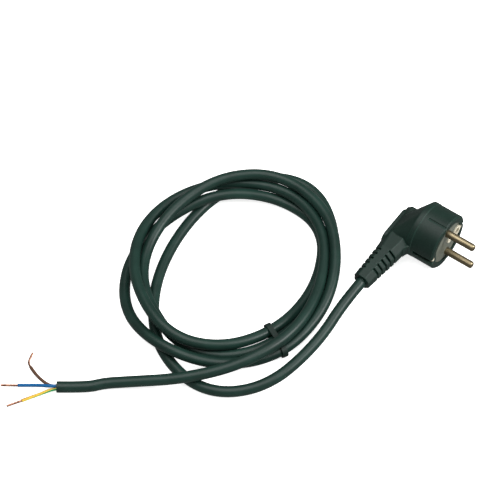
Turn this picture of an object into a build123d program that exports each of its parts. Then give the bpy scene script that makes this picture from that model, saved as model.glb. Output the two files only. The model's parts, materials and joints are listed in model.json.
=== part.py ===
# Power cord: an angled earthed plug moulded onto a round three-core cable, coiled loosely,
# with the far end stripped to bare cores.
# Plug frame: +X out along the pins, -Y along the boot, Z along the line of the two pins,
# origin at the middle of the plug's front face.
import os
from math import cos, pi, radians, sin, tan

from build123d import *

# Contact pins
PIN_DIAMETER = 4.8
PIN_LENGTH = 19.0
PIN_SPACING = 19.0
PIN_TIP_ROUND = 1.7
PIN_ROOT_DIAMETER = 5.2
PIN_COLLAR_DIAMETER = 6.6
PIN_COLLAR_THICKNESS = 1.6
CRIMP_DIAMETER = 3.8
CRIMP_LENGTH = 6.0

# Round front of the plug, which fits the recess of a socket
DRUM_DIAMETER = 37.0
DRUM_DEPTH = 16.0
DRUM_EDGE = 0.8
COLLAR_DEPTH = 3.4
COLLAR_STEP = 0.2
GUIDE_WIDTH = 1.2
GUIDE_DEPTH = 0.8
GUIDE_OFFSET = -2.5
GUIDE_LENGTH = 13.5

# Pin bridge, the stiff insert that holds the pins
BRIDGE_DIAMETER = 31.0
BRIDGE_ACROSS = 29.2
BRIDGE_DEPTH = 11.0
BRIDGE_RECESS = 0.8
BRIDGE_LIP = 1.2

# Side earth contacts, one folded strip
EARTH_SPAN = 33.0
STRIP_THICKNESS = 0.8
STRIP_WIDTH = 3.0
STRIP_TOE = 1.7
TOE_RECESS = 0.2
STRIP_BEND = 0.6
EARTH_CRIMP_OFFSET = 7.0
CHANNEL_CLEARANCE = 0.25
CHANNEL_LENGTH = 14.0

# Earth socket, which takes the pin of a socket that has one
SOCKET_OFFSET = 10.3
SOCKET_BORE = 5.0
SOCKET_WALL = 0.7
SOCKET_FLANGE = 8.8
SOCKET_FLANGE_THICKNESS = 0.6
SOCKET_TAIL = 1.8
SOCKET_BOTTOM = 0.8

# Rivet that clamps the strip to the bridge
RIVET_OFFSET = 2.0
RIVET_HEAD = 4.0
RIVET_HEAD_HEIGHT = 1.0
RIVET_HEAD_ROUND = 0.7
RIVET_SHANK = 1.8
TAIL_PROUD = 1.2

# Neck and slotted boot of the moulding
NECK_MIDDLE = 26.2
NECK_DEPTH = 15.8
NECK_THICKNESS = 14.4
NECK_CHAMFER = 3.6
NECK_TOP = 6.0
FAIRING_TOP = 3.0
FAIRING_LOW = 21.0
FAIRING_SHORT = 3.0
FAIRING_CORNER = 7.0
CORNER_RELIEF = 0.1
PAD_HEIGHT = 0.6
PAD_WIDTH = 11.0
PAD_LENGTH = 28.0
PAD_INSET = 1.0
PAD_ROOT = 5.0
PAD_EDGE = 0.2
GUSSET_REACH = 4.5
GUSSET_THICKNESS = 8.0
GUSSET_HOLLOW = 0.56
BOOT_START = 28.5
BOOT_LENGTH = 25.5
BOOT_LEAN_DEG = 3.0
BOOT_START_SIZE = 14.2
BOOT_END_SIZE = 11.0
BOOT_CHAMFER_SHARE = 0.27
SLOT_COUNT = 5
SLOT_FIRST = 1.2
SLOT_PITCH = 3.9
SLOT_WIDTH = 1.4
SLOT_INNER = 2.2
SLOT_WALL = 1.3

# Cable and cores
CABLE_DIAMETER = 6.9
CORE_DIAMETER = 2.0
CONDUCTOR_DIAMETER = 1.3
JACKET_IN_PLUG = 16.0
CORE_START_RADIUS = 1.2
CORE_FIRST_RUN = 5.0
CORE_EXIT_RUN = 3.0
TAIL_TURN = 5.5
BARE_FIRST_RUN = 3.2
BOOT_LEAD_OUT = 13.5
BEND_SHARE = 0.45
TAIL_CLOCKS = {"live": 120, "neutral": 240, "earth": 0}

# Tie pulled round the coil where three strands lie side by side
TIE_PLACE = (-39.6, -97.5)
TIE_TURN_DEG = 65.2
TIE_STRANDS = 3
TIE_REACH = 15.0
TIE_WIDTH = 3.4
TIE_THICKNESS = 0.8
TIE_CLEARANCE = 0.35

# Fit between pieces that are pressed or moulded together
FIT = 0.02

# How the plug lies: on the rim of its collar, with the boot tipped down
PLUG_TIP_DEG = 4.3

# Route of the cable's centre line: loops as they fell, from the plug to the stripped end
CABLE_ROUTE = [
    (-17.5, -86.0, 6.0),
    (-24.5, -128.5, 3.5),
    (-52.5, -153.5, 3.5),
    (-93.0, -145.5, 3.5),
    (-121.0, -116.0, 3.5),
    (-136.0, -78.5, 3.5),
    (-139.5, -37.0, 3.5),
    (-128.0, 0.0, 3.5),
    (-93.5, 14.5, 3.5),
    (-58.0, -4.0, 3.5),
    (-36.5, -45.5, 3.5),
    (-35.0, -88.0, 4.7),
    (-50.4, -122.0, 4.5),
    (-82.0, -137.5, 6.5),
    (-117.5, -125.5, 12.5),
    (-142.0, -99.5, 8.5),
    (-148.0, -63.5, 16.0),
    (-137.0, -24.0, 19.5),
    (-110.0, 1.5, 15.5),
    (-69.5, -2.0, 10.5),
    (-40.5, -31.0, 11.0),
    (-26.9, -66.5, 8.0),
    (-30.9, -106.2, 5.0),
    (-56.2, -136.9, 9.1),
    (-94.0, -147.0, 12.0),
    (-129.0, -134.5, 4.0),
    (-151.0, -102.5, 3.5),
    (-149.5, -63.0, 8.0),
    (-132.0, -29.5, 12.5),
    (-103.0, -8.5, 4.0),
    (-67.5, -12.5, 3.5),
    (-44.5, -45.0, 3.5),
    (-41.7, -86.0, 4.6),
    (-59.4, -122.0, 9.8),
    (-91.0, -136.5, 17.0),
    (-128.5, -122.5, 18.5),
    (-153.5, -91.5, 13.0),
    (-158.0, -53.5, 9.5),
    (-137.0, -20.5, 11.0),
    (-101.0, -3.0, 10.5),
    (-64.5, -15.0, 11.0),
    (-40.0, -47.0, 10.5),
    (-29.9, -87.4, 13.8),
    (-39.6, -125.2, 15.0),
    (-62.5, -153.5, 11.0),
    (-93.5, -175.5, 5.5),
    (-124.5, -201.5, 3.5),
]

# Each core past the jacket's end: clock angle at the end, insulated points, bare points
CORES = {
    "brown": (330, [(-132.5, -203.0, 2.4), (-137.5, -202.4, 2.1), (-142.7, -201.0, 1.6),
                    (-147.3, -199.2, 1.2)],
              [(-152.0, -194.6, 0.9), (-153.2, -190.6, 0.8)]),
    "blue": (90, [(-132.6, -206.0, 3.1), (-138.9, -209.5, 1.9), (-144.7, -213.5, 1.3)],
             [(-153.3, -219.4, 0.8)]),
    "green_yellow": (210, [(-129.4, -209.3, 1.7), (-132.8, -214.7, 1.3), (-135.9, -220.3, 1.2)],
                     [(-140.8, -228.3, 0.8)]),
}


def turned(points):
    """Solid of revolution about the X axis from (x, radius) points."""
    return revolve(make_face(Polyline(*points, close=True)), axis=Axis.X)


def bend_radii(points):
    """Largest arc that each corner of a route allows, a set share of its shorter run on each side."""
    radii = []
    for before, corner, after in zip(points, points[1:], points[2:]):
        run_in = Vector(*corner) - Vector(*before)
        run_out = Vector(*after) - Vector(*corner)
        half_turn = radians(run_in.get_angle(run_out)) / 2
        radii.append(BEND_SHARE * min(run_in.length, run_out.length) / tan(half_turn))
    return radii


def rod(points, diameter):
    """Round rod along straight runs joined by tangent arcs."""
    path = FilletPolyline(*points, radius=bend_radii(points))
    section = Plane(origin=path @ 0, z_dir=path % 0) * Circle(diameter / 2)
    return sweep(section, path=path), path.length


def across(reach, size_x, size_z, chamfer_size):
    """Chamfered rectangle square to -Y, at a distance along it."""
    square = Plane((0, -reach, 0), x_dir=(1, 0, 0), z_dir=(0, -1, 0))
    return square * chamfer(Rectangle(size_x, size_z).vertices(), chamfer_size)


def along_boot(diameter, start, length):
    """Cylinder on the boot's own axis, from a distance along it."""
    return extrude(Plane((0, -start, 0), z_dir=(0, -1, 0)) * Circle(diameter / 2), length)


# Places along X that several pieces share
bridge_front = -BRIDGE_RECESS
bridge_back = bridge_front - BRIDGE_DEPTH
strip_front = bridge_back
strip_back = strip_front - STRIP_THICKNESS
drum_radius = DRUM_DIAMETER / 2
pin_offset = PIN_SPACING / 2
channel_width = STRIP_WIDTH + 2 * CHANNEL_CLEARANCE
channel_floor = EARTH_SPAN / 2 - STRIP_THICKNESS

# Frame of the leaning boot: origin at its root on the cable's axis, -Y along the cable
boot_frame = Pos(-NECK_MIDDLE, -BOOT_START, 0) * Rot(0, 0, -BOOT_LEAN_DEG)
jacket_start = BOOT_LENGTH - JACKET_IN_PLUG


def make_pin():
    """Solid pin with a rounded tip, a thicker root in the bridge, a collar behind it and a crimped tail."""
    collar_back = bridge_back - PIN_COLLAR_THICKNESS
    tail_back = collar_back - CRIMP_LENGTH
    pin = turned([
        (tail_back, 0),
        (tail_back, CRIMP_DIAMETER / 2),
        (collar_back, CRIMP_DIAMETER / 2),
        (collar_back, PIN_COLLAR_DIAMETER / 2),
        (bridge_back, PIN_COLLAR_DIAMETER / 2),
        (bridge_back, PIN_ROOT_DIAMETER / 2),
        (bridge_front, PIN_ROOT_DIAMETER / 2),
        (bridge_front, PIN_DIAMETER / 2),
        (PIN_LENGTH, PIN_DIAMETER / 2),
        (PIN_LENGTH, 0),
    ])
    tip = pin.edges().filter_by(GeomType.CIRCLE).sort_by(Axis.X)[-1]
    return fillet(tip, PIN_TIP_ROUND), tail_back


def make_socket():
    """Flanged sleeve, closed at the back, with a tail through the earth strip."""
    outer = SOCKET_BORE / 2 + SOCKET_WALL
    flange_front = bridge_front + SOCKET_FLANGE_THICKNESS
    return turned([
        (flange_front, SOCKET_BORE / 2),
        (flange_front, SOCKET_FLANGE / 2),
        (bridge_front, SOCKET_FLANGE / 2),
        (bridge_front, outer),
        (strip_front, outer),
        (strip_front, SOCKET_TAIL / 2),
        (strip_back - TAIL_PROUD, SOCKET_TAIL / 2),
        (strip_back - TAIL_PROUD, 0),
        (strip_front + SOCKET_BOTTOM, 0),
        (strip_front + SOCKET_BOTTOM, SOCKET_BORE / 2),
    ])


def make_rivet():
    """Round-headed rivet from the bridge's face through the earth strip."""
    head_front = bridge_front + RIVET_HEAD_HEIGHT
    rivet = turned([
        (strip_back - TAIL_PROUD, 0),
        (strip_back - TAIL_PROUD, RIVET_SHANK / 2),
        (bridge_front, RIVET_SHANK / 2),
        (bridge_front, RIVET_HEAD / 2),
        (head_front, RIVET_HEAD / 2),
        (head_front, 0),
    ])
    rim = rivet.edges().filter_by(GeomType.CIRCLE).sort_by(Axis.X)[-1]
    return fillet(rim, RIVET_HEAD_ROUND)


def make_strip():
    """Earth strip folded to a C: toes at the face, legs in the side channels, base behind the bridge."""
    leg = EARTH_SPAN / 2 - STRIP_THICKNESS / 2
    toe_end = EARTH_SPAN / 2 - STRIP_TOE
    toe_x = -TOE_RECESS - STRIP_THICKNESS / 2
    base_x = strip_front - STRIP_THICKNESS / 2
    fold = FilletPolyline(
        (toe_x, -toe_end), (toe_x, -leg), (base_x, -leg), (base_x, leg), (toe_x, leg), (toe_x, toe_end),
        radius=STRIP_BEND + STRIP_THICKNESS / 2,
    )
    strip = extrude(trace(fold, line_width=STRIP_THICKNESS), STRIP_WIDTH / 2, both=True)
    crimp = turned([
        (strip_back - CRIMP_LENGTH, 0),
        (strip_back - CRIMP_LENGTH, CRIMP_DIAMETER / 2),
        (strip_back, CRIMP_DIAMETER / 2),
        (strip_back, 0),
    ])
    strip = strip + Pos(0, -EARTH_CRIMP_OFFSET, 0) * crimp
    for y, diameter in ((SOCKET_OFFSET, SOCKET_TAIL), (RIVET_OFFSET, RIVET_SHANK)):
        hole = Plane.YZ.offset(strip_back) * Pos(y, 0) * Circle(diameter / 2 + FIT)
        strip = strip - extrude(hole, STRIP_THICKNESS)
    return strip


def make_bridge():
    """Stiff disc with two flats, bored for the pins, the earth socket and the rivet."""
    outline = Circle(BRIDGE_DIAMETER / 2) & Rectangle(BRIDGE_ACROSS, BRIDGE_DIAMETER)
    holes = [
        Pos(0, pin_offset) * Circle(PIN_ROOT_DIAMETER / 2 + FIT),
        Pos(0, -pin_offset) * Circle(PIN_ROOT_DIAMETER / 2 + FIT),
        Pos(SOCKET_OFFSET, 0) * Circle(SOCKET_BORE / 2 + SOCKET_WALL + FIT),
        Pos(RIVET_OFFSET, 0) * Circle(RIVET_SHANK / 2 + FIT),
    ]
    back = Plane.YZ.offset(bridge_back)
    block = extrude(back * outline, BRIDGE_DEPTH)
    return extrude(back * (outline - holes), BRIDGE_DEPTH), block


def make_core_tail(start, clock):
    """Insulated core inside the plug, from a crimp back to the jacket's inner end."""
    lay = radians(clock)
    x = CORE_START_RADIUS * cos(lay)
    z = CORE_START_RADIUS * sin(lay)
    end = boot_frame * Pos(x, -jacket_start, z)
    straight = boot_frame * Pos(x, -jacket_start + CORE_FIRST_RUN, z)
    turn_in = (start[0] - TAIL_TURN, start[1], start[2])
    return rod([start, turn_in, tuple(straight.position), tuple(end.position)], CORE_DIAMETER)[0]


def make_slots():
    """Staggered slots across both sides of the boot, down to a round wall over the cable."""
    slots = []
    for side in (1, -1):
        for i in range(SLOT_COUNT):
            reach = SLOT_FIRST + (i + 0.5 * (side < 0)) * SLOT_PITCH
            x = side * (SLOT_INNER + BOOT_START_SIZE / 2)
            slots.append(Pos(x, -reach, 0) * Box(BOOT_START_SIZE, SLOT_WIDTH, BOOT_START_SIZE))
    wall = along_boot(CABLE_DIAMETER + 2 * SLOT_WALL, SLOT_FIRST - SLOT_PITCH, BOOT_LENGTH)
    return [boot_frame * (slot - wall) for slot in slots]


def make_overmould(inserts):
    """Drum, fairing, neck, grip pad and slotted boot in one moulding round everything inside."""
    neck_back = NECK_MIDDLE + NECK_DEPTH / 2
    neck_front = -NECK_MIDDLE + NECK_DEPTH / 2
    drum = extrude(Plane.YZ * Circle(drum_radius), -DRUM_DEPTH)
    drum = chamfer(drum.edges().filter_by(GeomType.CIRCLE).sort_by(Axis.X)[-1], DRUM_EDGE)
    collar_radius = drum_radius + COLLAR_STEP
    collar = extrude(Plane.YZ.offset(-DRUM_DEPTH) * Circle(collar_radius), -COLLAR_DEPTH)
    collar = chamfer(collar.edges().filter_by(GeomType.CIRCLE), COLLAR_STEP)

    fairing_round = 2 * (collar_radius - COLLAR_STEP)
    fairing_front = Plane.YZ.offset(-DRUM_DEPTH - COLLAR_DEPTH)
    fairing_back = Plane.YZ.offset(-neck_back + FAIRING_SHORT) * Pos((FAIRING_TOP - FAIRING_LOW) / 2, 0)
    fairing = loft([
        fairing_front * RectangleRounded(fairing_round, fairing_round, fairing_round / 2 - CORNER_RELIEF),
        fairing_back * RectangleRounded(FAIRING_TOP + FAIRING_LOW, NECK_THICKNESS, FAIRING_CORNER),
    ], ruled=True)

    neck_frame = Pos(-NECK_MIDDLE, 0, 0)
    boot_end_chamfer = BOOT_END_SIZE * BOOT_CHAMFER_SHARE
    neck = loft([
        neck_frame * across(-NECK_TOP, NECK_DEPTH, NECK_THICKNESS, NECK_CHAMFER),
        neck_frame * across(drum_radius, NECK_DEPTH, NECK_THICKNESS, NECK_CHAMFER),
        boot_frame * across(0, BOOT_START_SIZE, BOOT_START_SIZE, BOOT_START_SIZE * BOOT_CHAMFER_SHARE),
        boot_frame * across(BOOT_LENGTH, BOOT_END_SIZE, BOOT_END_SIZE, boot_end_chamfer),
    ], ruled=True)

    pad_face = Plane.YZ.offset(-neck_back - PAD_HEIGHT) * Pos(NECK_TOP - PAD_LENGTH / 2 - PAD_INSET, 0)
    pad = extrude(pad_face * RectangleRounded(PAD_LENGTH, PAD_WIDTH, PAD_WIDTH / 2 - CORNER_RELIEF), PAD_ROOT)
    pad = chamfer(pad.faces().sort_by(Axis.X)[0].edges(), PAD_EDGE)

    gusset_root = (neck_front, -drum_radius + COLLAR_STEP)
    gusset_low = (neck_front, -drum_radius - GUSSET_REACH)
    gusset_out = (-DRUM_DEPTH - COLLAR_STEP, -drum_radius + COLLAR_STEP)
    hollow = SagittaArc(gusset_out, gusset_low, -GUSSET_HOLLOW)
    gusset = make_face(hollow + Polyline(gusset_low, gusset_root, gusset_out))
    gusset = extrude(gusset, GUSSET_THICKNESS / 2, both=True)

    body = drum + collar + fairing + neck + pad + gusset
    body = body - make_slots()

    window = Circle(BRIDGE_DIAMETER / 2 - BRIDGE_LIP)
    window = window & Rectangle(BRIDGE_ACROSS - 2 * BRIDGE_LIP, BRIDGE_DIAMETER)
    window = window + Pos(SOCKET_OFFSET, 0) * Circle(SOCKET_FLANGE / 2 + FIT)
    body = body - extrude(Plane.YZ.offset(bridge_front) * window, BRIDGE_RECESS)
    for side in (1, -1):
        beyond = drum_radius - channel_floor
        channel = Box(CHANNEL_LENGTH, beyond, channel_width, align=(Align.MAX, Align.MIN, Align.CENTER))
        toe_room = Box(TOE_RECESS + STRIP_THICKNESS, drum_radius, channel_width,
                       align=(Align.MAX, Align.MIN, Align.CENTER))
        toe_start = EARTH_SPAN / 2 - STRIP_TOE - CHANNEL_CLEARANCE
        cut = Pos(0, channel_floor, 0) * channel + Pos(0, toe_start, 0) * toe_room
        body = body - (cut if side > 0 else mirror(cut, Plane.XZ))
        guide = Box(GUIDE_LENGTH, GUIDE_WIDTH, drum_radius, align=(Align.MAX, Align.CENTER, Align.MIN))
        guide_cut = Pos(0, GUIDE_OFFSET, drum_radius - GUIDE_DEPTH) * guide
        body = body - (guide_cut if side > 0 else mirror(guide_cut, Plane.XY))
    for piece in inserts:
        body = body - piece
    return body


def make_tie(jacket):
    """Flat band round the lowest strands of the coil, shaped to the hull of their sections."""
    turn = radians(TIE_TURN_DEG)
    square = Plane((*TIE_PLACE, 0), x_dir=(sin(turn), -cos(turn), 0), z_dir=(-cos(turn), -sin(turn), 0))
    cuts = section(jacket, section_by=square).faces()
    places = [square.to_local_coords(cut.center()) for cut in cuts]
    near = sorted((place for place in places if abs(place.X) < TIE_REACH), key=lambda place: place.Y)
    radius = CABLE_DIAMETER / 2 + TIE_CLEARANCE
    strands = [Pos(place.X, place.Y) * Circle(radius) for place in near[:TIE_STRANDS]]
    inside = make_hull([edge for strand in strands for edge in strand.edges()])
    band = offset(inside, TIE_THICKNESS) - inside
    return extrude(square * band, TIE_WIDTH / 2, both=True)


def main():
    """Build every piece where it lies and write one file for each."""
    pin, tail_back = make_pin()
    live_pin = Pos(0, 0, pin_offset) * pin
    neutral_pin = Pos(0, 0, -pin_offset) * pin
    bridge, bridge_block = make_bridge()
    strip = make_strip()
    socket = Pos(0, SOCKET_OFFSET, 0) * make_socket()
    rivet = Pos(0, RIVET_OFFSET, 0) * make_rivet()
    earth_back = strip_back - CRIMP_LENGTH
    tail_starts = {
        "live": (tail_back, 0, pin_offset),
        "neutral": (tail_back, 0, -pin_offset),
        "earth": (earth_back, -EARTH_CRIMP_OFFSET, 0),
    }

    in_plug_frame = {
        "live_pin": live_pin,
        "neutral_pin": neutral_pin,
        "pin_bridge": bridge,
        "earth_strip": strip,
        "earth_socket": socket,
        "earth_rivet": rivet,
    }
    for name, start in tail_starts.items():
        in_plug_frame[name + "_core_tail"] = make_core_tail(start, TAIL_CLOCKS[name])
    jacket_in_plug = boot_frame * along_boot(CABLE_DIAMETER, jacket_start, JACKET_IN_PLUG)
    inserts = list(in_plug_frame.values()) + [bridge_block, jacket_in_plug]
    in_plug_frame["plug_overmould"] = make_overmould(inserts)

    tip = Rot(PLUG_TIP_DEG, 0, 0)
    box = Compound([tip * piece for piece in in_plug_frame.values()]).bounding_box()
    middle = box.center()
    lie = Pos(-middle.X, -middle.Y, -box.min.Z) * tip
    nodes = {name: lie * piece for name, piece in in_plug_frame.items()}
    print("face centre", lie.position)

    inner = (lie * boot_frame * Pos(0, -jacket_start, 0)).position
    outer = (lie * boot_frame * Pos(0, -BOOT_LENGTH - BOOT_LEAD_OUT, 0)).position
    route = [tuple(inner), tuple(outer)] + CABLE_ROUTE
    nodes["cable_jacket"], cable_length = rod(route, CABLE_DIAMETER)
    radii = bend_radii(route)
    print("route starts", inner, outer)
    print("cable length %.0f mm, bend radii %.0f to %.0f mm" % (cable_length, min(radii), max(radii)))
    print("bend radii:", ", ".join("%.0f" % r for r in radii))
    round_section = pi * CABLE_DIAMETER ** 2 / 4
    jacket_volume = nodes["cable_jacket"].volume
    print("tube volume %.0f, section times length %.0f" % (jacket_volume, round_section * cable_length))

    nodes["cable_tie"] = make_tie(nodes["cable_jacket"])

    end = Vector(*CABLE_ROUTE[-1])
    along = (end - Vector(*CABLE_ROUTE[-2])).normalized()
    square = Plane(origin=end, x_dir=along.cross(Vector(0, 0, 1)), z_dir=along)
    for colour, (clock, insulated, bare) in CORES.items():
        lay = radians(clock)
        outlet = Vector(CORE_START_RADIUS * cos(lay), -CORE_START_RADIUS * sin(lay), 0)
        start = square.from_local_coords(outlet)
        first = start + along * CORE_EXIT_RUN
        nodes["core_" + colour] = rod([tuple(start), tuple(first)] + insulated, CORE_DIAMETER)[0]
        core_end = Vector(*insulated[-1])
        ahead = (core_end - Vector(*insulated[-2])).normalized()
        bare_first = tuple(core_end + ahead * BARE_FIRST_RUN)
        nodes["conductor_" + colour] = rod([tuple(core_end), bare_first] + bare, CONDUCTOR_DIAMETER)[0]

    os.makedirs("parts", exist_ok=True)
    for name, piece in nodes.items():
        export_step(piece, "parts/%s.step" % name)


main()
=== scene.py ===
"""Power cord: an angled earthed plug moulded onto a round cable that lies in loose loops.

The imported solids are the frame. This script dresses them: a smooth cable on the route's own
spline, insulated cores with twisted bare ends, moulded and plated finishes, and a plain studio.
All lengths are in metres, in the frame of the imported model: +X out along the pins, +Z up.
"""
import json

import bpy
import numpy as np
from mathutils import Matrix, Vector

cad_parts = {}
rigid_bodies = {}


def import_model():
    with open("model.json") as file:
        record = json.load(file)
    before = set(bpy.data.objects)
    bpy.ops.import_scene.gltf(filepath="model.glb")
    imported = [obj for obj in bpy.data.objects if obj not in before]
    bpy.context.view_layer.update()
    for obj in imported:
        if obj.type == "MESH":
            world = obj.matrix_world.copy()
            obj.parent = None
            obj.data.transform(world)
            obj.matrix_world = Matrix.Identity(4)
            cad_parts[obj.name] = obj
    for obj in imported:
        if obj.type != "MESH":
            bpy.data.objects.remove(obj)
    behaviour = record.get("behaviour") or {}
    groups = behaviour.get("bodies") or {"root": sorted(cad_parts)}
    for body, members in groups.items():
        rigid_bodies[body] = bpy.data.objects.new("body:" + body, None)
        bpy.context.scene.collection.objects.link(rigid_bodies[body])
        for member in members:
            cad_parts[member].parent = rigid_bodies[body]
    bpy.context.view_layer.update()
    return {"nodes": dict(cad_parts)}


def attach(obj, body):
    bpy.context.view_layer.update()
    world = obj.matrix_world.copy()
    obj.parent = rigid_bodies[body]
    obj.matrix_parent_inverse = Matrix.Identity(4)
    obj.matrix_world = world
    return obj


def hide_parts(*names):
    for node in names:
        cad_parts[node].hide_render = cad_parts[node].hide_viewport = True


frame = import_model()

bl_info = {
    "name": "Power Cord",
    "version": (1, 0, 0),
    "blender": (4, 5, 0),
    "location": "View3D > Sidebar > Power Cord",
    "description": "Dresses a coiled power cord with an angled plug and a stripped end",
    "category": "Add Mesh",
}

BODY = "root"
MM = 0.001

# Control points of the cable's centre line, from inside the boot round the loops to the stripped end,
# written in millimetres. Some lie a few millimetres off the solid's, to follow the photograph's loops.
CABLE_ROUTE = np.array([
    (-18.8472, -20.0513, 15.8518),
    (-20.3911, -49.4279, 13.6429),
    (-17.5, -86.0, 6.0),
    (-24.5, -128.5, 3.5),
    (-52.5, -153.5, 3.5),
    (-93.0, -145.5, 3.5),
    (-121.0, -116.0, 3.5),
    (-136.0, -78.5, 3.5),
    (-139.5, -37.0, 3.5),
    (-128.0, 0.0, 3.5),
    (-93.6, 16.5, 3.5),
    (-58.9, -5.6, 3.5),
    (-36.5, -45.5, 3.5),
    (-35.0, -88.0, 4.7),
    (-50.4, -122.0, 4.5),
    (-82.0, -137.5, 6.5),
    (-117.5, -125.5, 12.5),
    (-142.0, -99.5, 8.5),
    (-148.0, -63.5, 16.0),
    (-137.0, -24.0, 19.5),
    (-108.6, 2.7, 16.0),
    (-66.4, -3.4, 14.7),
    (-39.2, -33.0, 13.0),
    (-26.9, -66.5, 8.0),
    (-30.9, -106.2, 5.0),
    (-56.2, -136.9, 9.1),
    (-94.0, -147.0, 12.0),
    (-129.0, -134.5, 4.0),
    (-151.0, -102.5, 3.5),
    (-149.5, -63.0, 8.0),
    (-132.0, -29.5, 12.5),
    (-103.0, -5.6, 3.5),
    (-65.9, -9.2, 3.5),
    (-44.5, -45.0, 3.5),
    (-41.7, -86.0, 4.6),
    (-58.1, -123.7, 10.4),
    (-87.7, -140.9, 18.0),
    (-127.3, -124.1, 18.0),
    (-153.5, -91.5, 13.0),
    (-156.9, -52.7, 9.5),
    (-137.0, -20.5, 11.0),
    (-100.2, -0.5, 10.1),
    (-63.1, -12.9, 10.8),
    (-40.0, -47.0, 10.5),
    (-29.9, -87.4, 13.8),
    (-39.6, -125.2, 15.0),
    (-62.5, -153.5, 11.0),
    (-93.5, -175.5, 5.5),
    (-103.4, -183.0, 4.2),
    (-109.5, -190.6, 3.5),
    (-124.5, -201.5, 3.5),
]) * MM

# The cable's thickness, in metres
CABLE_DIAMETER = 0.0069

# Each core past the jacket, in millimetres: insulated points, then bare points
CORE_ROUTES = {
    "brown": (
        [(-125.15, -200.68, 2.90), (-127.44, -202.61, 2.75), (-132.5, -203.0, 2.4),
         (-137.5, -202.4, 2.1), (-142.7, -201.0, 1.6), (-147.3, -199.2, 1.2)],
        [(-150.27, -198.04, 0.94), (-152.0, -194.6, 0.9), (-153.2, -190.6, 0.8)],
    ),
    "blue": (
        [(-124.55, -201.54, 4.70), (-126.84, -203.46, 4.55), (-132.6, -206.0, 3.1),
         (-138.9, -209.5, 1.9), (-144.7, -213.5, 1.3)],
        [(-147.32, -215.31, 1.03), (-153.3, -219.4, 0.8)],
    ),
    "green_yellow": (
        [(-123.81, -202.28, 2.90), (-126.11, -204.20, 2.75), (-129.4, -209.3, 1.7),
         (-132.8, -214.7, 1.3), (-135.9, -220.3, 1.2)],
        [(-137.45, -223.10, 1.15), (-140.8, -228.3, 0.8)],
    ),
}

# The photograph's view: the point on the floor at its middle, then the camera, in metres
VIEW_CENTRE = Vector((-0.0953, -0.0490, 0.0))
CAMERA_PLACE = Vector((0.3147, -0.5957, 0.9069))
IMAGE_PIXELS = 500
FOCAL_PIXELS = 1800
SENSOR_WIDTH = 36.0

# Each light's place from the middle of the view and its diameter, and half the floor's side, in metres
KEY_PLACE = (0.9, 0.45, 0.8)
KEY_SIZE = 0.5
OVERHEAD_PLACE = (0.0, -0.1, 1.5)
OVERHEAD_SIZE = 1.6
FLOOR_REACH = 4.0
WHITE = (1.0, 1.0, 1.0, 1.0)

# Steps from one control point to the next, and the fineness of each round section
CABLE_STEPS = 14
CABLE_BEVEL = 7
CORE_STEPS = 10
CORE_SIDES = 24
STRAND_STEPS = 16
STRAND_SIDES = 8
HEART_SIDES = 12

# Broken edge of a cut core, the rod in the heart of a conductor, and the circle its strands lie on
CORE_RIM = 0.12 * MM
HEART_RADIUS = 0.42 * MM
STRAND_CIRCLE = 0.48 * MM

# Part of a turn that the earth core's bands drift from one end to the other
BAND_DRIFT = -0.22

# Sockets of a Mix node set to colours: its sockets for other types have the same names
MIX_SHARE = 0
MIX_FIRST = 6
MIX_SECOND = 7
MIX_RESULT = 2


def linear(hex_colour):
    """Linear RGB of an sRGB hex colour."""
    codes = np.array([int(hex_colour[i:i + 2], 16) for i in (1, 3, 5)]) / 255
    values = np.where(codes <= 0.04045, codes / 12.92, ((codes + 0.055) / 1.055) ** 2.4)
    return tuple(values.tolist())


def tint(colour, share=1.0):
    """RGBA of a linear RGB colour, made darker or lighter by a share."""
    return (*(c * share for c in colour), 1.0)


def add(tree, kind, sockets=None, **settings):
    """Adds a node with its own settings; sockets gives inputs a value or another node's output."""
    made = tree.nodes.new(kind)
    for name, value in settings.items():
        setattr(made, name, value)
    for name, value in (sockets or {}).items():
        if isinstance(value, bpy.types.NodeSocket):
            tree.links.new(value, made.inputs[name])
        else:
            made.inputs[name].default_value = value
    return made


def per_metre(size_mm):
    """Texture scale whose features are about that many millimetres across."""
    return 1000 / size_mm


def new_material(name):
    """Empty node material and its tree."""
    material = bpy.data.materials.new(name)
    material.use_nodes = True
    material.node_tree.nodes.clear()
    return material, material.node_tree


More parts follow.
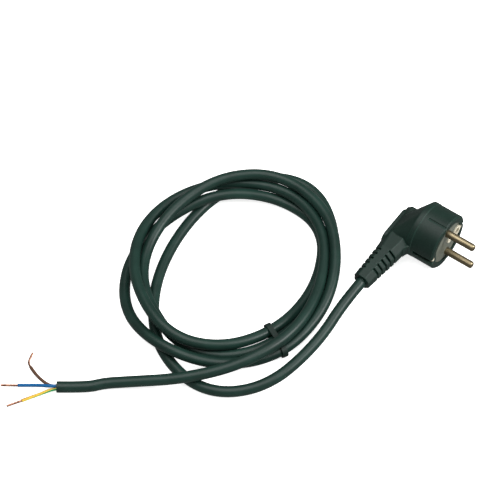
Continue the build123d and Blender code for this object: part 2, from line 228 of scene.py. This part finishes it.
def moulded_pvc(name, colour, roughness, edge_mm):
    """Soft PVC, moulded or extruded: satin, with a fine grain, a faint bloom and paler edges, a painted
    highlight that partly stands for rubbing wear.

    The grain of the real skin is about 0.1 mm; it is drawn at 0.7 mm so that it shows. An edge is
    where the normal rounded over edge_mm leaves the true one.
    """
    material, tree = new_material(name)
    place = add(tree, "ShaderNodeTexCoord").outputs["Object"]
    bloom = add(tree, "ShaderNodeTexNoise", {"Vector": place, "Scale": per_metre(14), "Detail": 4.0})
    tone = add(tree, "ShaderNodeValToRGB", {"Fac": bloom.outputs["Fac"]})
    tone.color_ramp.elements[0].position = 0.32
    tone.color_ramp.elements[0].color = tint(colour, 0.8)
    tone.color_ramp.elements[1].position = 0.72
    tone.color_ramp.elements[1].color = tint(colour, 1.25)
    grain = add(tree, "ShaderNodeTexNoise", {"Vector": place, "Scale": per_metre(0.7), "Detail": 2.0})
    rounded = add(tree, "ShaderNodeBevel", {"Radius": edge_mm * MM}, samples=6)
    true_normal = add(tree, "ShaderNodeNewGeometry").outputs["Normal"]
    along = add(tree, "ShaderNodeVectorMath", {
        0: rounded.outputs["Normal"], 1: true_normal,
    }, operation="DOT_PRODUCT")
    edge = add(tree, "ShaderNodeMapRange", {
        "Value": along.outputs["Value"], "From Min": 0.985, "From Max": 0.85,
        "To Min": 0.0, "To Max": 0.9,
    })
    # Painted highlight: edges are painted much lighter than the skin, partly standing for rubbing wear.
    edge_highlight_and_wear = add(tree, "ShaderNodeMix", {
        MIX_SHARE: edge.outputs["Result"],
        MIX_FIRST: tone.outputs["Color"],
        MIX_SECOND: tint(colour, 3.0),
    }, data_type="RGBA")
    sheen = add(tree, "ShaderNodeMapRange", {
        "Value": grain.outputs["Fac"], "To Min": roughness - 0.07, "To Max": roughness + 0.07,
    })
    bump = add(tree, "ShaderNodeBump", {
        "Height": grain.outputs["Fac"], "Strength": 0.3, "Distance": 0.04 * MM,
        "Normal": rounded.outputs["Normal"],
    })
    shader = add(tree, "ShaderNodeBsdfPrincipled", {
        "Base Color": edge_highlight_and_wear.outputs[MIX_RESULT], "Roughness": sheen.outputs["Result"],
        "IOR": 1.53, "Specular IOR Level": 0.22, "Normal": bump.outputs["Normal"],
    })
    add(tree, "ShaderNodeOutputMaterial", {"Surface": shader.outputs["BSDF"]})
    return material


def stiff_plastic(name, colour):
    """Glass-filled insert plastic: matt, slightly mottled where the fibres lie near the skin."""
    material, tree = new_material(name)
    place = add(tree, "ShaderNodeTexCoord").outputs["Object"]
    mottle = add(tree, "ShaderNodeTexNoise", {"Vector": place, "Scale": per_metre(2.5), "Detail": 4.0})
    tone = add(tree, "ShaderNodeValToRGB", {"Fac": mottle.outputs["Fac"]})
    tone.color_ramp.elements[0].position = 0.3
    tone.color_ramp.elements[0].color = tint(colour, 0.82)
    tone.color_ramp.elements[1].position = 0.7
    tone.color_ramp.elements[1].color = tint(colour)
    bump = add(tree, "ShaderNodeBump", {
        "Height": mottle.outputs["Fac"], "Strength": 0.2, "Distance": 0.05 * MM,
    })
    shader = add(tree, "ShaderNodeBsdfPrincipled", {
        "Base Color": tone.outputs["Color"], "Roughness": 0.58, "IOR": 1.55,
        "Normal": bump.outputs["Normal"],
    })
    add(tree, "ShaderNodeOutputMaterial", {"Surface": shader.outputs["BSDF"]})
    return material


def plated_metal(name, colour, roughness, metallic):
    """Drawn and plated metal: fine streaks along X, 0.35 mm wide, and a slightly uneven gloss.

    Dull tin scatters light like a pale paint, so it is given as only partly metallic.
    """
    material, tree = new_material(name)
    place = add(tree, "ShaderNodeTexCoord").outputs["Object"]
    along = add(tree, "ShaderNodeMapping", {"Vector": place, "Scale": (0.04, 1.0, 1.0)})
    streaks = add(tree, "ShaderNodeTexNoise", {
        "Vector": along.outputs["Vector"], "Scale": per_metre(0.35), "Detail": 3.0,
    })
    tone = add(tree, "ShaderNodeValToRGB", {"Fac": streaks.outputs["Fac"]})
    tone.color_ramp.elements[0].position = 0.3
    tone.color_ramp.elements[0].color = tint(colour, 0.78)
    tone.color_ramp.elements[1].position = 0.65
    tone.color_ramp.elements[1].color = tint(colour)
    gloss = add(tree, "ShaderNodeMapRange", {
        "Value": streaks.outputs["Fac"], "To Min": roughness - 0.05, "To Max": roughness + 0.07,
    })
    bump = add(tree, "ShaderNodeBump", {
        "Height": streaks.outputs["Fac"], "Strength": 0.15, "Distance": 0.02 * MM,
    })
    shader = add(tree, "ShaderNodeBsdfPrincipled", {
        "Base Color": tone.outputs["Color"], "Metallic": metallic, "Roughness": gloss.outputs["Result"],
        "Normal": bump.outputs["Normal"],
    })
    add(tree, "ShaderNodeOutputMaterial", {"Surface": shader.outputs["BSDF"]})
    return material


def bare_copper(name, bright, tarnish):
    """Twisted copper strands: pale and bright where they were rubbed, brown where they have tarnished.

    The tarnish lies in patches of about 1.6 mm, with drawing streaks of 0.2 mm in the gloss.
    """
    material, tree = new_material(name)
    place = add(tree, "ShaderNodeTexCoord").outputs["Object"]
    patches = add(tree, "ShaderNodeTexNoise", {"Vector": place, "Scale": per_metre(1.6), "Detail": 3.0})
    tone = add(tree, "ShaderNodeValToRGB", {"Fac": patches.outputs["Fac"]})
    tone.color_ramp.elements[0].position = 0.42
    tone.color_ramp.elements[0].color = tint(tarnish)
    tone.color_ramp.elements[1].position = 0.58
    tone.color_ramp.elements[1].color = tint(bright)
    streaks = add(tree, "ShaderNodeTexNoise", {"Vector": place, "Scale": per_metre(0.2), "Detail": 2.0})
    gloss = add(tree, "ShaderNodeMapRange", {
        "Value": streaks.outputs["Fac"], "To Min": 0.22, "To Max": 0.42,
    })
    shader = add(tree, "ShaderNodeBsdfPrincipled", {
        "Base Color": tone.outputs["Color"], "Metallic": 1.0, "Roughness": gloss.outputs["Result"],
    })
    add(tree, "ShaderNodeOutputMaterial", {"Surface": shader.outputs["BSDF"]})
    return material


def core_insulation(name, colour, bands=()):
    """Extruded core insulation: smooth and glossy, faintly cloudy from the extruder.

    Bands are (turn, colour) stops round the core, on its UV map; they drift along the core, as the
    lay of the cable twists it.
    """
    material, tree = new_material(name)
    place = add(tree, "ShaderNodeTexCoord")
    cloud = add(tree, "ShaderNodeTexNoise", {
        "Vector": place.outputs["Object"], "Scale": per_metre(3), "Detail": 3.0,
    })
    shade = add(tree, "ShaderNodeMapRange", {
        "Value": cloud.outputs["Fac"], "To Min": 0.75, "To Max": 1.1,
    })
    skin = tint(colour)
    if bands:
        way = add(tree, "ShaderNodeSeparateXYZ", {"Vector": place.outputs["UV"]})
        drift = add(tree, "ShaderNodeMath", {
            0: way.outputs["Y"], 1: BAND_DRIFT, 2: way.outputs["X"],
        }, operation="MULTIPLY_ADD")
        ramp = add(tree, "ShaderNodeValToRGB", {"Fac": drift.outputs["Value"]})
        stops = ramp.color_ramp.elements
        while len(stops) < len(bands):
            stops.new(1.0)
        for stop, (turn, band) in zip(stops, bands):
            stop.position = turn
            stop.color = tint(band)
        skin = ramp.outputs["Color"]
    mixed = add(tree, "ShaderNodeMix", {
        MIX_SHARE: 1.0, MIX_FIRST: skin, MIX_SECOND: shade.outputs["Result"],
    }, data_type="RGBA", blend_type="MULTIPLY")
    gloss = add(tree, "ShaderNodeMapRange", {
        "Value": cloud.outputs["Fac"], "To Min": 0.3, "To Max": 0.45,
    })
    shader = add(tree, "ShaderNodeBsdfPrincipled", {
        "Base Color": mixed.outputs[MIX_RESULT], "Roughness": gloss.outputs["Result"],
        "IOR": 1.53, "Specular IOR Level": 0.3,
    })
    add(tree, "ShaderNodeOutputMaterial", {"Surface": shader.outputs["BSDF"]})
    return material


def route_curve(name, points, steps):
    """Curve object of one open spline of order 3, with the route's points as its control points."""
    curve = bpy.data.curves.new(name, "CURVE")
    curve.dimensions = "3D"
    curve.resolution_u = steps
    spline = curve.splines.new("NURBS")
    spline.points.add(len(points) - 1)
    weighted = np.column_stack([points, np.ones(len(points))])
    spline.points.foreach_set("co", weighted.ravel())
    spline.order_u = 3
    spline.use_endpoint_u = True
    piece = bpy.data.objects.new(name, curve)
    bpy.context.scene.collection.objects.link(piece)
    return piece


def spline_line(points, steps):
    """Points along the NURBS spline of a route, read from a curve with no bevel."""
    holder = route_curve("route", points, steps)
    mesh = bpy.data.meshes.new_from_object(holder)
    line = np.empty(len(mesh.vertices) * 3)
    mesh.vertices.foreach_get("co", line)
    curve = holder.data
    bpy.data.objects.remove(holder)
    bpy.data.curves.remove(curve)
    bpy.data.meshes.remove(mesh)
    return line.reshape(-1, 3)


def line_frame(line):
    """Side and up directions square to a line that runs nearly level: side = t x Z, up = side x t."""
    tangent = np.gradient(line, axis=0)
    tangent /= np.linalg.norm(tangent, axis=1, keepdims=True)
    side = np.cross(tangent, (0.0, 0.0, 1.0))
    side /= np.linalg.norm(side, axis=1, keepdims=True)
    return side, np.cross(side, tangent)


def rings(line, radii, around):
    """Rings round a line: P(i, v) = line(i) + radius(i) (cos v side(i) + sin v up(i))."""
    side, up = line_frame(line)
    turn = np.linspace(0, 2 * np.pi, around, endpoint=False)
    spoke = np.cos(turn)[None, :, None] * side[:, None] + np.sin(turn)[None, :, None] * up[:, None]
    return line[:, None] + np.asarray(radii)[:, None, None] * spoke


def skin_mesh(name, grids):
    """Mesh of closed skins: quads between the rings of each grid, and one flat face on each end.

    The UV map holds the turn round a ring as U and the share of the way along as V.
    """
    places, faces, turns = [], [], []
    start = 0
    for grid in grids:
        count, around = grid.shape[:2]
        index = start + np.arange(count * around).reshape(count, around)
        ahead = np.roll(index, -1, axis=1)
        quads = np.stack([index[:-1], index[1:], ahead[1:], ahead[:-1]], axis=-1).reshape(-1, 4)
        faces += quads.tolist() + [index[0].tolist(), index[-1][::-1].tolist()]
        u = np.arange(around) / around
        near = np.broadcast_to(u, (count - 1, around))
        far = near + 1 / around
        v = np.arange(count) / (count - 1)
        low = np.broadcast_to(v[:-1, None], near.shape)
        high = np.broadcast_to(v[1:, None], near.shape)
        corners = np.stack([
            np.stack([near, low], -1), np.stack([near, high], -1),
            np.stack([far, high], -1), np.stack([far, low], -1),
        ], axis=2).reshape(-1, 2)
        first_cap = np.column_stack([u, np.zeros(around)])
        last_cap = np.column_stack([u[::-1], np.ones(around)])
        turns.append(np.concatenate([corners, first_cap, last_cap]))
        places.append(grid.reshape(-1, 3))
        start += count * around
    mesh = bpy.data.meshes.new(name)
    mesh.from_pydata(np.concatenate(places), [], faces)
    layer = mesh.uv_layers.new(name="around")
    layer.data.foreach_set("uv", np.concatenate(turns).ravel())
    mesh.shade_smooth()
    piece = bpy.data.objects.new(name, mesh)
    bpy.context.scene.collection.objects.link(piece)
    return piece


def cut_rod(line, radius, around, rim):
    """Rings of a rod with slightly broken end edges: the end rings shrink by the rim."""
    radii = np.full(len(line), radius)
    ends = np.concatenate([line[:1], line, line[-1:]])
    step = np.gradient(line, axis=0)
    step /= np.linalg.norm(step, axis=1, keepdims=True)
    ends[0] -= step[0] * rim
    ends[-1] += step[-1] * rim
    return rings(ends, np.concatenate([[radius - rim], radii, [radius - rim]]), around)


def seat(piece, material, slot, *nodes):
    """Gives a new piece its finish, its place in the frame and the nodes that it stands for."""
    piece.data.materials.append(material)
    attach(piece, BODY)
    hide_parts(*nodes)


def finish_nodes(material, *names):
    """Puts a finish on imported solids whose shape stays."""
    for name in names:
        slots = frame["nodes"][name].data.materials
        slots.clear()
        slots.append(material)


class CableSettings(bpy.types.PropertyGroup):
    """Cable and core sizes and colours."""

    jacket_diameter: bpy.props.FloatProperty(
        name="Jacket Diameter", description="Outside of the cable",
        default=CABLE_DIAMETER, unit="LENGTH")
    jacket_colour: bpy.props.FloatVectorProperty(
        name="Jacket Colour", description="Soft PVC of the cable",
        default=linear("#122822"), subtype="COLOR")
    tie_colour: bpy.props.FloatVectorProperty(
        name="Tie Colour", description="Band round the loops",
        default=linear("#10201B"), subtype="COLOR")
    core_diameter: bpy.props.FloatProperty(
        name="Core Diameter", description="Outside of one insulated core",
        default=0.002, unit="LENGTH")
    brown: bpy.props.FloatVectorProperty(
        name="Brown Core", description="Insulation of the live core",
        default=linear("#563D2E"), subtype="COLOR")
    blue: bpy.props.FloatVectorProperty(
        name="Blue Core", description="Insulation of the neutral core",
        default=linear("#00568C"), subtype="COLOR")
    yellow: bpy.props.FloatVectorProperty(
        name="Yellow of the Earth Core", description="Ground colour of the earth core",
        default=linear("#C8A634"), subtype="COLOR")
    green: bpy.props.FloatVectorProperty(
        name="Green of the Earth Core", description="Stripe of the earth core",
        default=linear("#168A48"), subtype="COLOR")
    # Painted shade: this ochre is painted along one side of the earth core as its shade; the yellow is
    # not laid on thicker there.
    painted_shade_ochre: bpy.props.FloatVectorProperty(
        name="Ochre of the Earth Core", description="Where the yellow is laid on thickest",
        default=linear("#A87430"), subtype="COLOR")
    strand_count: bpy.props.IntProperty(
        name="Strands", description="Outer copper strands in one conductor",
        default=9, min=3)
    strand_diameter: bpy.props.FloatProperty(
        name="Strand Diameter", description="Thickness of one strand as drawn",
        default=0.0004, unit="LENGTH")
    strand_lay: bpy.props.FloatProperty(
        name="Strand Lay", description="Length of one turn of the strands",
        default=0.014, unit="LENGTH")
    copper: bpy.props.FloatVectorProperty(
        name="Copper", description="Bare strands where they are bright",
        default=linear("#C4957C"), subtype="COLOR")
    tarnish: bpy.props.FloatVectorProperty(
        name="Tarnish", description="Bare strands where they have dulled",
        default=linear("#7E513D"), subtype="COLOR")


class PlugSettings(bpy.types.PropertyGroup):
    """Plug colours."""

    moulding: bpy.props.FloatVectorProperty(
        name="Moulding", description="Soft PVC of the plug",
        default=linear("#0C1F19"), subtype="COLOR")
    bridge: bpy.props.FloatVectorProperty(
        name="Pin Bridge", description="Stiff plastic round the pins",
        default=linear("#52564B"), subtype="COLOR")
    pins: bpy.props.FloatVectorProperty(
        name="Pins", description="Nickel-plated brass",
        default=linear("#8C8066"), subtype="COLOR")
    earth: bpy.props.FloatVectorProperty(
        name="Earth Contacts", description="Tinned spring brass",
        default=linear("#CBC4B0"), subtype="COLOR")


class StudioSettings(bpy.types.PropertyGroup):
    """Floor and light."""

    floor: bpy.props.FloatVectorProperty(
        name="Floor", description="Pale paper",
        default=linear("#F4F4F2"), subtype="COLOR")
    floor_glow: bpy.props.FloatProperty(
        name="Floor Glow", description="Light from below through the paper",
        default=0.78)
    key_watts: bpy.props.FloatProperty(
        name="Key Light", description="Softbox on the pins' side",
        default=16.0, unit="POWER")
    overhead_watts: bpy.props.FloatProperty(
        name="Overhead Light", description="Large softbox above the floor",
        default=28.0, unit="POWER")
    sky: bpy.props.FloatProperty(
        name="Sky", description="Strength of the white surround",
        default=0.27)


class POWERCORD_OT_cable(bpy.types.Operator):
    """Lays the cable along its spline, as one round jacket"""

    bl_idname = "powercord.cable"
    bl_label = "Cable"

    def execute(self, context):
        sizes = context.scene.power_cord_cable
        cable = route_curve("cable", CABLE_ROUTE, CABLE_STEPS)
        cable.data.bevel_depth = sizes.jacket_diameter / 2
        cable.data.bevel_resolution = CABLE_BEVEL
        cable.data.use_fill_caps = True
        jacket_colour = tuple(sizes.jacket_colour)
        jacket = moulded_pvc("extruded black PVC", jacket_colour, roughness=0.4, edge_mm=0.05)
        seat(cable, jacket, "black_pvc", "cable_jacket")
        at_end = ("insulation_", "strands_")
        on_cable = [piece for piece in context.scene.objects if piece.name.startswith(at_end)]
        on_cable.append(frame["nodes"]["cable_tie"])
        return {"FINISHED"}


class POWERCORD_OT_cores(bpy.types.Operator):
    """Draws the three insulated cores out of the cable's end"""

    bl_idname = "powercord.cores"
    bl_label = "Cores"

    def execute(self, context):
        """Each core is a rod of constant radius along its own spline."""
        sizes = context.scene.power_cord_cable
        yellow = tuple(sizes.yellow)
        green = tuple(sizes.green)
        painted_shade_ochre = tuple(sizes.painted_shade_ochre)
        # The green stripe is the core's own print; the ochre stops at both ends of the turn paint a
        # shade along one side of the core.
        bands = (
            (0.02, painted_shade_ochre), (0.10, yellow), (0.29, yellow), (0.33, green),
            (0.74, green), (0.78, yellow), (0.92, yellow), (0.99, painted_shade_ochre),
        )
        finishes = {
            "brown": core_insulation("brown core PVC", tuple(sizes.brown)),
            "blue": core_insulation("blue core PVC", tuple(sizes.blue)),
            "green_yellow": core_insulation("green and yellow core PVC", yellow, bands),
        }
        for colour, (insulated, _) in CORE_ROUTES.items():
            line = spline_line(np.array(insulated) * MM, CORE_STEPS)
            grid = cut_rod(line, sizes.core_diameter / 2, CORE_SIDES, CORE_RIM)
            piece = skin_mesh("insulation_" + colour, [grid])
            seat(piece, finishes[colour], colour + "_insulation", "core_" + colour)
        return {"FINISHED"}


class POWERCORD_OT_conductors(bpy.types.Operator):
    """Twists the bare copper strands at the end of each core"""

    bl_idname = "powercord.conductors"
    bl_label = "Bare Conductors"

    def execute(self, context):
        """Strands wound round a rod in the heart of each conductor.

        Strand k follows line(s) + a (cos(w) side(s) + sin(w) up(s)), with w = 2 pi s / lay + phase k.
        """
        sizes = context.scene.power_cord_cable
        copper = bare_copper("bare stranded copper", tuple(sizes.copper), tuple(sizes.tarnish))
        radius = sizes.strand_diameter / 2
        rim = radius / 3
        for colour, (insulated, bare) in CORE_ROUTES.items():
            line = spline_line(np.array(insulated[-1:] + bare) * MM, STRAND_STEPS)
            side, up = line_frame(line)
            steps = np.linalg.norm(np.diff(line, axis=0), axis=1)
            run = np.concatenate([[0.0], np.cumsum(steps)])
            grids = [cut_rod(line, HEART_RADIUS, HEART_SIDES, rim)]
            for phase in np.linspace(0, 2 * np.pi, sizes.strand_count, endpoint=False):
                turn = 2 * np.pi * run / sizes.strand_lay + phase
                spoke = np.cos(turn)[:, None] * side + np.sin(turn)[:, None] * up
                grids.append(cut_rod(line + STRAND_CIRCLE * spoke, radius, STRAND_SIDES, rim))
            piece = skin_mesh("strands_" + colour, grids)
            seat(piece, copper, "bare_copper", "conductor_" + colour)
        return {"FINISHED"}


class POWERCORD_OT_tie(bpy.types.Operator):
    """Finishes the band that holds the loops together"""

    bl_idname = "powercord.tie"
    bl_label = "Tie"

    def execute(self, context):
        """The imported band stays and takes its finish."""
        colour = tuple(context.scene.power_cord_cable.tie_colour)
        band = moulded_pvc("black PVC tie", colour, roughness=0.5, edge_mm=0.25)
        finish_nodes(band, "cable_tie")
        return {"FINISHED"}


class POWERCORD_OT_plug(bpy.types.Operator):
    """Finishes the plug's moulding, bridge, pins and earth contacts"""

    bl_idname = "powercord.plug"
    bl_label = "Plug"

    def execute(self, context):
        """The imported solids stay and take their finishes."""
        colours = context.scene.power_cord_plug
        cable = context.scene.power_cord_cable
        moulding = tuple(colours.moulding)
        skin = moulded_pvc("moulded black PVC", moulding, roughness=0.48, edge_mm=0.8)
        finish_nodes(skin, "plug_overmould")
        finish_nodes(stiff_plastic("glass-filled grey nylon", tuple(colours.bridge)), "pin_bridge")
        pins = tuple(colours.pins)
        nickel = plated_metal("nickel-plated brass", pins, roughness=0.4, metallic=1.0)
        finish_nodes(nickel, "live_pin", "neutral_pin")
        earth = tuple(colours.earth)
        tin = plated_metal("tinned spring brass", earth, roughness=0.5, metallic=0.35)
        finish_nodes(tin, "earth_socket", "earth_rivet", "earth_strip")
        finish_nodes(bpy.data.materials["brown core PVC"], "live_core_tail")
        finish_nodes(bpy.data.materials["blue core PVC"], "neutral_core_tail")
        finish_nodes(core_insulation("yellow core PVC", tuple(cable.yellow)), "earth_core_tail")
        return {"FINISHED"}


class POWERCORD_OT_studio(bpy.types.Operator):
    """Sets up the pale floor, the soft light and the camera"""

    bl_idname = "powercord.studio"
    bl_label = "Studio"

    def execute(self, context):
        """The camera looks at the floor point in the middle of the photograph."""
        scene = context.scene
        settings = scene.power_cord_studio
        mesh = bpy.data.meshes.new("floor")
        signs = ((-1, -1), (1, -1), (1, 1), (-1, 1))
        corners = [(x * FLOOR_REACH, y * FLOOR_REACH, 0.0) for x, y in signs]
        mesh.from_pydata(corners, [], [(0, 1, 2, 3)])
        floor = bpy.data.objects.new("floor", mesh)
        scene.collection.objects.link(floor)
        paper, tree = new_material("white paper")
        shader = add(tree, "ShaderNodeBsdfPrincipled", {
            "Base Color": tint(settings.floor), "Roughness": 0.9,
            "Emission Color": WHITE, "Emission Strength": settings.floor_glow,
        })
        add(tree, "ShaderNodeOutputMaterial", {"Surface": shader.outputs["BSDF"]})
        mesh.materials.append(paper)
        # The paper throws light on the cord but isn't mirrored in it, so that the loops keep dark edges
        floor.visible_glossy = False

        world = bpy.data.worlds.new("white surround")
        world.use_nodes = True
        background = world.node_tree.nodes["Background"]
        background.inputs["Color"].default_value = WHITE
        background.inputs["Strength"].default_value = settings.sky
        scene.world = world
        scene.view_settings.view_transform = "Standard"

        lights = (
            ("key", KEY_PLACE, KEY_SIZE, settings.key_watts),
            ("overhead", OVERHEAD_PLACE, OVERHEAD_SIZE, settings.overhead_watts),
        )
        for name, place, size, watts in lights:
            lamp = bpy.data.lights.new(name, "AREA")
            lamp.shape = "DISK"
            lamp.size = size
            lamp.energy = watts
            holder = bpy.data.objects.new(name, lamp)
            holder.location = VIEW_CENTRE + Vector(place)
            holder.rotation_euler = (-Vector(place)).to_track_quat("-Z", "Y").to_euler()
            scene.collection.objects.link(holder)

        lens = bpy.data.cameras.new("photograph")
        lens.sensor_width = SENSOR_WIDTH
        lens.sensor_fit = "HORIZONTAL"
        lens.lens = SENSOR_WIDTH * FOCAL_PIXELS / IMAGE_PIXELS
        camera = bpy.data.objects.new("photograph", lens)
        camera.location = CAMERA_PLACE
        camera.rotation_euler = (VIEW_CENTRE - CAMERA_PLACE).to_track_quat("-Z", "Y").to_euler()
        scene.collection.objects.link(camera)
        scene.camera = camera
        return {"FINISHED"}


class POWERCORD_PT_sidebar(bpy.types.Panel):
    """Steps and settings of the power cord"""

    bl_idname = "POWERCORD_PT_sidebar"
    bl_label = "Power Cord"
    bl_space_type = "VIEW_3D"
    bl_region_type = "UI"
    bl_category = "Power Cord"

    def draw(self, context):
        """Lists the operators, then every setting."""
        for operator in OPERATORS:
            self.layout.operator(operator.bl_idname)
        for settings in (context.scene.power_cord_cable, context.scene.power_cord_plug,
                         context.scene.power_cord_studio):
            for name in settings.__annotations__:
                self.layout.prop(settings, name)


OPERATORS = (POWERCORD_OT_cores, POWERCORD_OT_conductors, POWERCORD_OT_cable, POWERCORD_OT_tie,
             POWERCORD_OT_plug, POWERCORD_OT_studio)
CLASSES = (CableSettings, PlugSettings, StudioSettings, *OPERATORS, POWERCORD_PT_sidebar)


def register():
    """Registers the classes and hangs the settings on the scene."""
    for kind in CLASSES:
        bpy.utils.register_class(kind)
    bpy.types.Scene.power_cord_cable = bpy.props.PointerProperty(type=CableSettings)
    bpy.types.Scene.power_cord_plug = bpy.props.PointerProperty(type=PlugSettings)
    bpy.types.Scene.power_cord_studio = bpy.props.PointerProperty(type=StudioSettings)


def unregister():
    """Takes the settings and the classes away again."""
    del bpy.types.Scene.power_cord_studio
    del bpy.types.Scene.power_cord_plug
    del bpy.types.Scene.power_cord_cable
    for kind in reversed(CLASSES):
        bpy.utils.unregister_class(kind)


def main():
    """Makes the pieces, then the studio."""
    register()
    bpy.ops.powercord.cores()
    bpy.ops.powercord.conductors()
    bpy.ops.powercord.cable()
    bpy.ops.powercord.tie()
    bpy.ops.powercord.plug()
    bpy.ops.powercord.studio()


if __name__ == "__main__":
    main()
